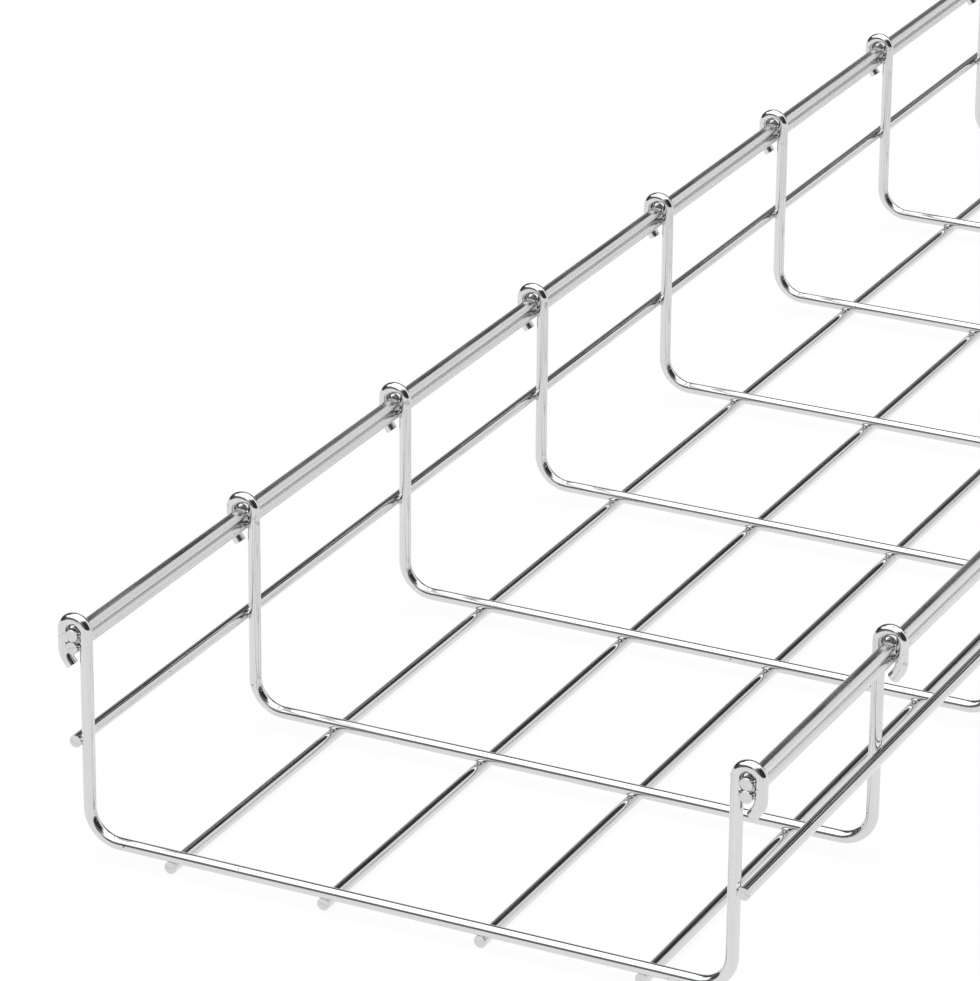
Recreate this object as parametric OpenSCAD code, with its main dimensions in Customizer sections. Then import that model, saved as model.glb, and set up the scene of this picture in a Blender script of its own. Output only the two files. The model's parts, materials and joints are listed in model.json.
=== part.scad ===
// Wire mesh cable basket: a straight length of welded wire tray with a hooked safety edge.
// X runs across the tray, Y along it and Z up; the bottom wires lie on Z = 0.

/* [Wire] */
// Diameter of every wire
wire_d = 3.8; // [3:0.1:5]
// How far a crossing wire sinks into the hoop at a floor or wall weld
weld_set = 0.3; // [0.1:0.05:0.6]

/* [Tray] */
// Clear width between the walls
inner_w = 200; // [190:1:240]
// Overall height, from the bottom wires to the top of the hooks
tray_h = 76; // [66:1:120]
// Inside radius of the bend between floor and wall
corner_r = 8; // [5:0.5:13]

/* [Mesh] */
// Spacing of the hoops along the tray
hoop_pitch = 100; // [50:5:150]
// Spacing of the bottom wires across the floor
bottom_pitch = 50; // [40:1:56]
// Height of the side wires' centre above the underside
side_wire_z = 36; // [22:1:50]
// How far the bottom wires run past the centre of the end hoops
bottom_past = 1; // [0.5:0.1:20]
// How far the side wires run past the centre of the end hoops
side_past = 1.6; // [0.5:0.1:20]
// How far the top wires run past the centre of the end hoops
top_past = 2.2; // [0.5:0.1:20]

/* [Safety hook] */
// How far the top wires sink into each leg of the hook
hook_set = 0.2; // [0.05:0.05:0.4]
// Gap between the two wires of a top pair
pair_gap = 0.1; // [0.05:0.05:1]
// Gap between the upper wire and the inside of the hook's bend
hook_gap = 0.7; // [0.4:0.1:2]
// Straight part of the hook's outer leg, below the centre of the lower wire
leg_past = 0.9; // [0.5:0.1:4]
// Radius of the tail's bend, on the wire's centre line
tail_bend_r = 6; // [4:0.5:10]
// Angle by which the tail turns in under the lower wire
tail_angle = 37; // [10:1:42]
// Straight end of the tail
tail_l = 2; // [0.5:0.1:3]

/* [Hidden] */
$fn = 48;
hoop_count = 31;
hoop_span = (hoop_count - 1) * hoop_pitch;
// Height of the hoop's floor centre line, one sunk wire above the bottom wires
floor_z = wire_d / 2 + wire_d - weld_set;
// Half the distance between the walls' centre lines
wall_x = inner_w / 2 + wire_d / 2;
corner_line_r = corner_r + wire_d / 2;
side_wire_x = wall_x + wire_d - weld_set;
// The hook's half-turn sits centred over the top wires
hook_line_r = wire_d - hook_set;
hook_z = tray_h - wire_d / 2 - hook_line_r;
hook_x = wall_x + hook_line_r;
upper_z = hook_z + hook_line_r - hook_gap - wire_d;
lower_z = upper_z - wire_d - pair_gap;
outer_x = hook_x + hook_line_r;
tail_z = lower_z - leg_past;
tail_x = outer_x - tail_bend_r;
// The sheared end is a hair thinner than the wire and starts inside the bend
tail_neck = 0.04;
tail_seat = 0.2;

// Straight wire from the origin along +Z
module wire(length) {
    cylinder(h = length, d = wire_d);
}

// Bent wire in the XZ plane around the origin, from angle a0 over angle sweep
module bend(line_r, a0, sweep) {
    rotate([90, 0, 0])
        rotate([0, 0, a0])
            rotate_extrude(angle = sweep)
                translate([line_r, 0])
                    circle(d = wire_d);
}

// Wire along the tray at one place of its section
module long_wire(x, z, past) {
    length = hoop_span + 2 * past;
    translate([x, -length / 2, z])
        rotate([-90, 0, 0])
            wire(length);
}

// Short lengths of every long wire, as they pass one hoop
module crossing(x, z) {
    translate([x, -wire_d, z])
        rotate([-90, 0, 0])
            wire(2 * wire_d);
}

module crossings() {
    for (i = [1:4])
        crossing((i - 2.5) * bottom_pitch, wire_d / 2);
    for (side = [-1, 1]) {
        crossing(side * side_wire_x, side_wire_z);
        crossing(side * hook_x, upper_z);
        crossing(side * hook_x, lower_z);
    }
}

// Hooked edge on the right wall: half-turn over the top wires, outer leg and turned-in tail
module hook() {
    translate([hook_x, 0, hook_z])
        bend(hook_line_r, 0, 180);
    translate([outer_x, 0, tail_z])
        wire(hook_z - tail_z);
    translate([tail_x, 0, tail_z])
        mirror([0, 0, 1])
            bend(tail_bend_r, 0, tail_angle);
    translate([tail_x, 0, tail_z])
        rotate([0, tail_angle, 0])
            translate([tail_bend_r, 0, -tail_l])
                cylinder(h = tail_l + tail_seat, d = wire_d - tail_neck);
}

// Right half of a hoop: half the floor, corner, wall and hook
module half_hoop() {
    translate([0, 0, floor_z])
        rotate([0, 90, 0])
            wire(wall_x - corner_line_r);
    translate([wall_x - corner_line_r, 0, floor_z + corner_line_r])
        bend(corner_line_r, -90, 90);
    translate([wall_x, 0, floor_z + corner_line_r])
        wire(hook_z - floor_z - corner_line_r);
    hook();
}

// Cross wire number i, counted from the front, with a saddle at each weld
module hoop(i) {
    color("gainsboro")
        translate([0, (i - (hoop_count + 1) / 2) * hoop_pitch, 0])
            difference() {
                union() {
                    half_hoop();
                    mirror([1, 0, 0])
                        half_hoop();
                }
                crossings();
            }
}

// Bottom wire number i, counted from the left
module bottom_wire(i) {
    color("silver")
        long_wire((i - 2.5) * bottom_pitch, wire_d / 2, bottom_past);
}

// Side wire outside a wall; side is -1 on the left and 1 on the right
module side_wire(side) {
    color("silver")
        long_wire(side * side_wire_x, side_wire_z, side_past);
}

// One wire of a top pair, held in the hooks
module top_wire(side, z) {
    color("silver")
        long_wire(side * hook_x, z, top_past);
}

hoop(1);  // hoop_01
hoop(2);  // hoop_02
hoop(3);  // hoop_03
hoop(4);  // hoop_04
hoop(5);  // hoop_05
hoop(6);  // hoop_06
hoop(7);  // hoop_07
hoop(8);  // hoop_08
hoop(9);  // hoop_09
hoop(10);  // hoop_10
hoop(11);  // hoop_11
hoop(12);  // hoop_12
hoop(13);  // hoop_13
hoop(14);  // hoop_14
hoop(15);  // hoop_15
hoop(16);  // hoop_16
hoop(17);  // hoop_17
hoop(18);  // hoop_18
hoop(19);  // hoop_19
hoop(20);  // hoop_20
hoop(21);  // hoop_21
hoop(22);  // hoop_22
hoop(23);  // hoop_23
hoop(24);  // hoop_24
hoop(25);  // hoop_25
hoop(26);  // hoop_26
hoop(27);  // hoop_27
hoop(28);  // hoop_28
hoop(29);  // hoop_29
hoop(30);  // hoop_30
hoop(31);  // hoop_31
bottom_wire(1);  // bottom_wire_1
bottom_wire(2);  // bottom_wire_2
bottom_wire(3);  // bottom_wire_3
bottom_wire(4);  // bottom_wire_4
side_wire(-1);  // side_wire_left
side_wire(1);  // side_wire_right
top_wire(-1, upper_z);  // top_wire_left_upper
top_wire(-1, lower_z);  // top_wire_left_lower
top_wire(1, upper_z);  // top_wire_right_upper
top_wire(1, lower_z);  // top_wire_right_lower
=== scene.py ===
import json
import math
import random

import bpy
from mathutils import Matrix, Vector

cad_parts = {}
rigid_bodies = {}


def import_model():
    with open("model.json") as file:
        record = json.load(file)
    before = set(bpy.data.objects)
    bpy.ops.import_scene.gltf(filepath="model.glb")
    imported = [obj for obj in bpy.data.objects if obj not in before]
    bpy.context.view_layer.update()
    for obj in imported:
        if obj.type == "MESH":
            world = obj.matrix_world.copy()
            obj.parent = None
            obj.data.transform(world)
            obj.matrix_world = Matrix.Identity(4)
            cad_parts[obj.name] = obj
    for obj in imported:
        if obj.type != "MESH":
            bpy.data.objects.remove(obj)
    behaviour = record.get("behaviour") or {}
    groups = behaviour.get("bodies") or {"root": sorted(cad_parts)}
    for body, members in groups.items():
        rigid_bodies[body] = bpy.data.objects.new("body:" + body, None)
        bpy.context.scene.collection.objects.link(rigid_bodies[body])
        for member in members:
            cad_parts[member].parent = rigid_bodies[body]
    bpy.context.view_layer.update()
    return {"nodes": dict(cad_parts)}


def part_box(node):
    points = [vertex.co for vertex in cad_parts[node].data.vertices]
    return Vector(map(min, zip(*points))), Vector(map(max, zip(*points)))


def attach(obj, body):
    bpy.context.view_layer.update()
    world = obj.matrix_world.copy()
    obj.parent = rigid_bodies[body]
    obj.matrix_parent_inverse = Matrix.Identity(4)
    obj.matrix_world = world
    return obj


for leftover in list(bpy.data.objects):
    bpy.data.objects.remove(leftover, do_unlink=True)
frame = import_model()
scene = bpy.context.scene
scene.view_settings.view_transform = "Standard"
print("tray loaded:", len(frame["nodes"]), "wires")

# the tray as it is packed, in metres
tray = {
    "wire": 0.0038,          # wire diameter
    "weldSet": 0.0003,       # depth of the floor and wall welds
    "hookSet": 0.0002,       # depth of the welds in the hooks
    "hoopCount": 31,
    "pitch": 0.1,            # from hoop to hoop
}
wireRadius = tray["wire"] / 2
hoopNames = ["hoop_%02d" % (k + 1) for k in range(tray["hoopCount"])]
hoopPlaces = [(k - (tray["hoopCount"] - 1) / 2) * tray["pitch"] for k in range(tray["hoopCount"])]
longNames = [name for name in frame["nodes"] if name not in hoopNames]


def boxCentre(name):
    low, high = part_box(name)
    return (low + high) / 2


# where the camera stands and looks, angles in degrees
view = {
    "place": (0.61932, -2.70544, 0.70847),
    "azimuth": 26.184,
    "elevation": 22.947,
    "roll": 0.445,
    "lens": 197.2,
    "sensor": 36,
    "reach": (0.1, 60),      # nearest and farthest things seen
}


def addCamera():
    azimuth, elevation, roll = (math.radians(view[k]) for k in ("azimuth", "elevation", "roll"))
    ahead = Vector((-math.sin(azimuth) * math.cos(elevation),
                    math.cos(azimuth) * math.cos(elevation),
                    -math.sin(elevation)))
    level = Vector((math.cos(azimuth), math.sin(azimuth), 0))
    above = level.cross(ahead)
    right = math.cos(roll) * level + math.sin(roll) * above
    upward = math.cos(roll) * above - math.sin(roll) * level
    turn = Matrix((right, upward, -ahead)).transposed().to_4x4()
    data = bpy.data.cameras.new("trayCamera")
    data.lens = view["lens"]
    data.sensor_width = view["sensor"]
    data.clip_start, data.clip_end = view["reach"]
    camera = bpy.data.objects.new("trayCamera", data)
    camera.matrix_world = Matrix.Translation(view["place"]) @ turn
    scene.collection.objects.link(camera)
    scene.camera = camera


addCamera()
print("camera placed")


# small helpers for the shader trees
def newTree(owner):
    owner.use_nodes = True
    owner.node_tree.nodes.clear()
    return owner.node_tree


def addMath(tree, operation, a, b=None):
    node = tree.nodes.new("ShaderNodeMath")
    node.operation = operation
    for socket, value in zip(node.inputs, (a, b)):
        if value is None:
            continue
        if isinstance(value, (int, float)):
            socket.default_value = value
        else:
            tree.links.new(value, socket)
    return node.outputs[0]


def addRange(tree, value, low, high, toLow=0.0, toHigh=1.0):
    node = tree.nodes.new("ShaderNodeMapRange")
    node.interpolation_type = "SMOOTHSTEP"
    tree.links.new(value, node.inputs["Value"])
    for name, number in (("From Min", low), ("From Max", high), ("To Min", toLow), ("To Max", toHigh)):
        node.inputs[name].default_value = number
    return node.outputs["Result"]


# 1 between low and high, falling to 0 past them
def addBand(tree, value, low, high, soft):
    rise = addRange(tree, value, low - soft, low + soft)
    fall = addRange(tree, value, high - soft, high + soft, 1.0, 0.0)
    return addMath(tree, "MULTIPLY", rise, fall)


def addMix(tree, share, a, b):
    node = tree.nodes.new("ShaderNodeMix")
    for socket, value in zip((node.inputs[0], node.inputs[2], node.inputs[3]), (share, a, b)):
        if isinstance(value, (int, float)):
            socket.default_value = value
        else:
            tree.links.new(value, socket)
    return node.outputs[0]


# white overhead, pale floor and dark flags round the horizon; flags in degrees,
# azimuth 0 beyond the far end and growing to the right
studio = {
    "overhead": 1.95,
    "flags": [
        # azimuth from, to, elevation from, to, softness, level
        (-85, -42, -4, 50, 6, 0.04),
        (-50, 21, -4, 47, 4, 0.04),
        (-70, 16, 19, 27, 3, 0.26),
        (-40, -14, -2, 14, 4, 0.42),
        (-130, -72, -4, 30, 6, 0.06),
        (60, 155, -4, 54, 8, 0.04),
        (150, 180, -4, 34, 9, 0.15),
        (-180, -125, -4, 34, 9, 0.15),
        (22, 58, -4, 42, 4, 0.93),
    ],
    "floorHalf": 9.0,        # half the floor's side
    "floorTone": 0.95,
    "floorGlow": 0.92,       # how much of the floor shows as plain white
}


def addWorld():
    world = bpy.data.worlds.new("studioLight")
    scene.world = world
    tree = newTree(world)
    coord = tree.nodes.new("ShaderNodeTexCoord").outputs["Generated"]
    split = tree.nodes.new("ShaderNodeSeparateXYZ")
    tree.links.new(coord, split.inputs[0])
    toDegrees = 180 / math.pi
    azimuth = addMath(tree, "ARCTAN2", split.outputs[0], split.outputs[1])
    azimuth = addMath(tree, "MULTIPLY", azimuth, toDegrees)
    elevation = addMath(tree, "MULTIPLY", addMath(tree, "ARCSINE", split.outputs[2]), toDegrees)
    level = studio["overhead"]
    for azimuthFrom, azimuthTo, lowest, highest, soft, tone in studio["flags"]:
        mask = addMath(tree, "MULTIPLY", addBand(tree, azimuth, azimuthFrom, azimuthTo, soft),
                       addBand(tree, elevation, lowest, highest, soft))
        level = addMix(tree, mask, level, tone)
    path = tree.nodes.new("ShaderNodeLightPath")
    back = tree.nodes.new("ShaderNodeBackground")
    back.inputs["Color"].default_value = (1, 1, 1, 1)
    tree.links.new(addMix(tree, path.outputs["Is Camera Ray"], level, 1.0), back.inputs["Strength"])
    out = tree.nodes.new("ShaderNodeOutputWorld")
    tree.links.new(back.outputs[0], out.inputs[0])


def addFloor():
    half = studio["floorHalf"]
    mesh = bpy.data.meshes.new("studioFloor")
    corners = [(-half, -half, 0), (half, -half, 0), (half, half, 0), (-half, half, 0)]
    mesh.from_pydata(corners, [], [(0, 1, 2, 3)])
    floor = bpy.data.objects.new("studioFloor", mesh)
    scene.collection.objects.link(floor)
    paint = bpy.data.materials.new("whiteFloor")
    tree = newTree(paint)
    diffuse = tree.nodes.new("ShaderNodeBsdfDiffuse")
    diffuse.inputs["Color"].default_value = (studio["floorTone"],) * 3 + (1,)
    glow = tree.nodes.new("ShaderNodeEmission")
    glow.inputs["Color"].default_value = (1, 1, 1, 1)
    glow.inputs["Strength"].default_value = 1.0
    path = tree.nodes.new("ShaderNodeLightPath")
    seen = addMath(tree, "MAXIMUM", path.outputs["Is Camera Ray"], path.outputs["Is Glossy Ray"])
    mix = tree.nodes.new("ShaderNodeMixShader")
    tree.links.new(addMath(tree, "MULTIPLY", seen, studio["floorGlow"]), mix.inputs[0])
    tree.links.new(diffuse.outputs[0], mix.inputs[1])
    tree.links.new(glow.outputs[0], mix.inputs[2])
    out = tree.nodes.new("ShaderNodeOutputMaterial")
    tree.links.new(mix.outputs[0], out.inputs[0])
    mesh.materials.append(paint)


addWorld()
addFloor()
print("studio lit")


# drawn wire, zinc plated; heights in metres above the floor
zinc = {
    "tone": (0.722, 0.722, 0.728),
    "shade": (0.655, 0.655, 0.662),
    "shadeRange": (0.3, 0.62),
    "streakScale": 900,      # drawing lines
    "streakStretch": 0.02,
    "streakShare": 0.55,     # of the tone, the rest is cloud
    "cloudScale": 45,
    "cloudRange": (0.3, 0.7),
    "fineScale": 2600,
    "fineShare": 0.3,        # of the bump, the rest is drawing lines
    "bump": 0.035,           # on the straight wires
    "bentBump": 0.012,       # on the bent ones, which are smoother
    "bumpDepth": 0.0002,
    "bendHeight": (0.007, 0.014),    # where a hoop turns from the floor up to the wall
    "speckScale": 640,
    "speck": (0.76, 0.80),   # where the noise turns into small dark specks
    # colour of the small dark specks, and also of the painted crevice shade on the hoops
    "speckAndShadeTone": (0.22, 0.22, 0.23),
    # painted shade in the crevice beside the top wires, set by the next five
    "paintedShadeScale": 380,
    "paintedShadeCut": (0.62, 0.70),    # where the noise turns into painted crevice shade round the hooks' welds
    "paintedShadeFrom": (0.0630, 0.0655),
    "paintedShadeTo": (0.0705, 0.0725),
    "paintedShadeStrength": 0.45,
    "endFacing": (0.9, 0.98),
    "tornScale": 700,
    "tornStretch": 0.35,
    "tornRough": 0.12,       # added roughness of the cut ends
    "tornBump": 6.0,
}


def wireFinish(name, roughness, bent=False):
    finish = bpy.data.materials.new(name)
    tree = newTree(finish)
    coord = tree.nodes.new("ShaderNodeTexCoord").outputs["Object"]
    shader = tree.nodes.new("ShaderNodeBsdfPrincipled")
    shader.inputs["Metallic"].default_value = 1.0
    out = tree.nodes.new("ShaderNodeOutputMaterial")
    tree.links.new(shader.outputs[0], out.inputs[0])

    def noise(scale, detail, stretchBy=(1, 1, 1)):
        mapping = tree.nodes.new("ShaderNodeMapping")
        mapping.inputs["Scale"].default_value = stretchBy
        tree.links.new(coord, mapping.inputs["Vector"])
        node = tree.nodes.new("ShaderNodeTexNoise")
        node.inputs["Scale"].default_value = scale
        node.inputs["Detail"].default_value = detail
        tree.links.new(mapping.outputs[0], node.inputs["Vector"])
        return node.outputs["Fac"]

    def blend(a, b, shareOfB):
        return addMath(tree, "ADD", addMath(tree, "MULTIPLY", a, 1 - shareOfB),
                       addMath(tree, "MULTIPLY", b, shareOfB))

    def splitXYZ(vector):
        node = tree.nodes.new("ShaderNodeSeparateXYZ")
        tree.links.new(vector, node.inputs[0])
        return node.outputs

    stretch = zinc["streakStretch"]
    if bent:
        # drawing lines follow the floor across and the walls up
        above = splitXYZ(coord)[2]
        streak = addMix(tree, addRange(tree, above, *zinc["bendHeight"]),
                        noise(zinc["streakScale"], 3, stretchBy=(stretch, 1, 1)),
                        noise(zinc["streakScale"], 3, stretchBy=(1, 1, stretch)))
    else:
        streak = noise(zinc["streakScale"], 3, stretchBy=(1, stretch, 1))
    cloud = noise(zinc["cloudScale"], 4)
    fine = noise(zinc["fineScale"], 2)
    ramp = tree.nodes.new("ShaderNodeValToRGB")
    for end, place, tone in zip(ramp.color_ramp.elements, zinc["shadeRange"], ("shade", "tone")):
        end.position = place
        end.color = zinc[tone] + (1,)
    tree.links.new(blend(cloud, streak, zinc["streakShare"]), ramp.inputs[0])
    speck = addRange(tree, noise(zinc["speckScale"], 1), *zinc["speck"])
    if bent:
        # painted shade: a few dark blotches beside the pair of top wires stand in for the shade in the
        # crevice where the hooks hold them
        paintedShadeBand = addMath(tree, "MULTIPLY", addRange(tree, above, *zinc["paintedShadeFrom"]),
                       addRange(tree, above, *zinc["paintedShadeTo"], 1.0, 0.0))
        paintedCreviceShade = addRange(tree, noise(zinc["paintedShadeScale"], 2), *zinc["paintedShadeCut"])
        paintedCreviceShade = addMath(tree, "MULTIPLY", addMath(tree, "MULTIPLY", paintedCreviceShade, paintedShadeBand), zinc["paintedShadeStrength"])
        # from here the speck mask also carries the painted crevice shade
        speck = addMath(tree, "MAXIMUM", speck, paintedCreviceShade)
    darken = tree.nodes.new("ShaderNodeMix")
    darken.data_type = "RGBA"
    tree.links.new(speck, darken.inputs[0])
    tree.links.new(ramp.outputs[0], darken.inputs[6])
    darken.inputs[7].default_value = zinc["speckAndShadeTone"] + (1,)
    rough = addRange(tree, cloud, *zinc["cloudRange"], *roughness)
    height = blend(streak, fine, zinc["fineShare"])
    if not bent:
        # cut ends are torn and a little duller
        normal = tree.nodes.new("ShaderNodeNewGeometry").outputs["True Normal"]
        facing = addMath(tree, "ABSOLUTE", splitXYZ(normal)[1])
        face = addRange(tree, facing, *zinc["endFacing"])
        torn = noise(zinc["tornScale"], 4, stretchBy=(1.0, 1.0, zinc["tornStretch"]))
        rough = addMath(tree, "ADD", rough, addMath(tree, "MULTIPLY", face, zinc["tornRough"]))
        relief = addMath(tree, "MULTIPLY", addMath(tree, "MULTIPLY", torn, face), zinc["tornBump"])
        height = addMath(tree, "ADD", height, relief)
    bump = tree.nodes.new("ShaderNodeBump")
    bump.inputs["Strength"].default_value = zinc["bentBump" if bent else "bump"]
    bump.inputs["Distance"].default_value = zinc["bumpDepth"]
    tree.links.new(height, bump.inputs["Height"])
    tree.links.new(bump.outputs[0], shader.inputs["Normal"])
    tree.links.new(darken.outputs[2], shader.inputs["Base Color"])
    tree.links.new(rough, shader.inputs["Roughness"])
    return finish


longZinc = wireFinish("drawnZincAlong", (0.08, 0.15))
topZinc = wireFinish("satinZincTop", (0.17, 0.26))
hoopZinc = wireFinish("drawnZincBent", (0.08, 0.14), bent=True)
endZinc = wireFinish("shearedZinc", (0.14, 0.22))
for name, node in frame["nodes"].items():
    finish = hoopZinc if name in hoopNames else topZinc if name.startswith("top") else longZinc
    for slot in node.material_slots:
        slot.material = finish
print("wires finished in zinc")


# one mesh out of many small parts, riding on the tray
def addPiece(name, parts, finish, smooth):
    verts, faces = [], []
    for partVerts, partFaces in parts:
        base = len(verts)
        verts += partVerts
        faces += [tuple(i + base for i in face) for face in partFaces]
    mesh = bpy.data.meshes.new(name)
    mesh.from_pydata(verts, [], faces)
    mesh.update()
    for polygon in mesh.polygons:
        polygon.use_smooth = smooth
    piece = bpy.data.objects.new(name, mesh)
    scene.collection.objects.link(piece)
    mesh.materials.append(finish)
    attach(piece, "root")
    print(name, "added:", len(parts), "places,", len(faces), "faces")


# flash squeezed out where two wires cross
weld = {
    "bead": (0.00012, 0.00032),    # thinnest and thickest flash
    "lumpChance": 0.12,
    "lumpSize": 1.7,
    "wide": 1.1,                   # the flash is a little flattened
    "high": 0.8,
    "around": 16,
    "section": 6,
    "seed": 7,
}


# where the skins of two crossing wires meet, at one angle round the weld
# gap is the distance between their centre lines
def meetingPoint(angle, gap):
    low, high = 0.0, wireRadius * 0.999
    for _ in range(30):
        reach = (low + high) / 2
        u, v = reach * math.cos(angle), reach * math.sin(angle)
        if math.sqrt(wireRadius ** 2 - u * u) + math.sqrt(wireRadius ** 2 - v * v) > gap:
            low = reach
        else:
            high = reach
    return low * math.cos(angle), low * math.sin(angle)


# bead round one weld; out points from the long wire to the hoop
def weldRing(rng, gap, alongHoop, alongWire, out, place):
    count, section = weld["around"], weld["section"]
    points = []
    for k in range(count):
        u, v = meetingPoint(2 * math.pi * k / count, gap)
        points.append(place + alongHoop * u + alongWire * v + out * math.sqrt(wireRadius ** 2 - u * u))
    centre = sum(points, Vector()) / count
    bead = [rng.uniform(*weld["bead"]) for _ in points]
    bead = [(bead[k - 1] + 2 * bead[k] + bead[(k + 1) % count]) / 4 for k in range(count)]
    verts, faces = [], []
    for k, point in enumerate(points):
        ahead = (points[(k + 1) % count] - points[k - 1]).normalized()
        side = (point - centre).normalized()
        side = (side - ahead * side.dot(ahead)).normalized()
        lift = ahead.cross(side)
        size = bead[k] * (weld["lumpSize"] if rng.random() < weld["lumpChance"] else 1.0)
        for j in range(section):
            a = 2 * math.pi * j / section
            verts.append(point + side * (math.cos(a) * size * weld["wide"])
                         + lift * (math.sin(a) * size * weld["high"]))
    for k in range(count):
        for j in range(section):
            here, there = k * section, (k + 1) % count * section
            after = (j + 1) % section
            faces.append((here + j, here + after, there + after, there + j))
    return verts, faces


def addWelds():
    rng = random.Random(weld["seed"])
    across, along, upward = Vector((1, 0, 0)), Vector((0, 1, 0)), Vector((0, 0, 1))
    gap = tray["wire"] - tray["weldSet"]
    hookGap = tray["wire"] - tray["hookSet"]
    parts = []
    for name in longNames:
        centre = boxCentre(name)
        if name.startswith("bottom"):
            rings = [(gap, across, upward)]
        elif name.startswith("side"):
            rings = [(gap, upward, -across * math.copysign(1, centre.x))]
        else:
            rings = [(hookGap, upward, across), (hookGap, upward, -across)]
        for y in hoopPlaces:
            place = Vector((centre.x, y, centre.z))
            for ringGap, alongHoop, out in rings:
                parts.append(weldRing(rng, ringGap, alongHoop, along, out, place))
    addPiece("weld_flash", parts, hoopZinc, True)


addWelds()


# sheared faces at the ends of the wires and of the hooks' tails
shear = {
    "lift": 0.00012,         # step between the cut and the torn part
    "rough": 0.00002,
    "sharpness": 14,         # of that step
    "offCentre": 0.25,       # how far the step strays from the middle
    "clear": 0.00001,
    "rings": (0.99, 0.93, 0.7, 0.42, 0.15),
    "around": 24,
    "tailRadius": 0.006,
    "tailAngle": 37,
    "tailEnd": 0.002,
    "tailStart": 0.0009,     # below the lower wire's centre
    "seed": 3,
}


# cut face of one wire end, half of it torn and standing a little proud
def shearedFace(rng, centre, out):
    side = Vector((0, 0, 1)).cross(out)
    side = side.normalized() if side.length > 0.1 else Vector((1, 0, 0))
    rise = out.cross(side)
    tilt = rng.uniform(0, 2 * math.pi)
    split = rng.uniform(-shear["offCentre"], shear["offCentre"])
    count = shear["around"]
    verts, faces = [], []
    for ring, share in enumerate(shear["rings"]):
        for k in range(count):
            a = 2 * math.pi * k / count
            step = 1 / (1 + math.exp(-(math.cos(a + tilt) * share - split) * shear["sharpness"]))
            lift = shear["clear"]
            if ring:
                lift += shear["lift"] * step + shear["rough"] * (0.3 + step) * rng.random()
            verts.append(centre + (side * math.cos(a) + rise * math.sin(a)) * (wireRadius * share)
                         + out * lift)
    last = len(shear["rings"]) - 1
    for ring in range(last):
        here, inner = ring * count, (ring + 1) * count
        for k in range(count):
            after = (k + 1) % count
            faces.append((here + k, here + after, inner + after, inner + k))
    faces.append(tuple(last * count + k for k in range(count)))
    return verts, faces


def addShearedFaces():
    rng = random.Random(shear["seed"])
    places = []
    for name in longNames:
        low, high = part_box(name)
        middle = (low + high) / 2
        places.append((Vector((middle.x, low.y, middle.z)), Vector((0, -1, 0))))
        places.append((Vector((middle.x, high.y, middle.z)), Vector((0, 1, 0))))
    angle = math.radians(shear["tailAngle"])
    reach = tray["wire"] - tray["hookSet"]
    inward = shear["tailRadius"] * (1 - math.cos(angle)) + shear["tailEnd"] * math.sin(angle)
    down = (shear["tailStart"] + shear["tailRadius"] * math.sin(angle)
            + shear["tailEnd"] * math.cos(angle))
    for side in ("left", "right"):
        lower = boxCentre("top_wire_%s_lower" % side)
        sign = math.copysign(1, lower.x)
        for y in hoopPlaces:
            centre = Vector((lower.x + sign * (reach - inward), y, lower.z - down))
            places.append((centre, Vector((-sign * math.sin(angle), 0, -math.cos(angle)))))
    addPiece("sheared_ends", [shearedFace(rng, centre, out) for centre, out in places], endZinc, False)


addShearedFaces()
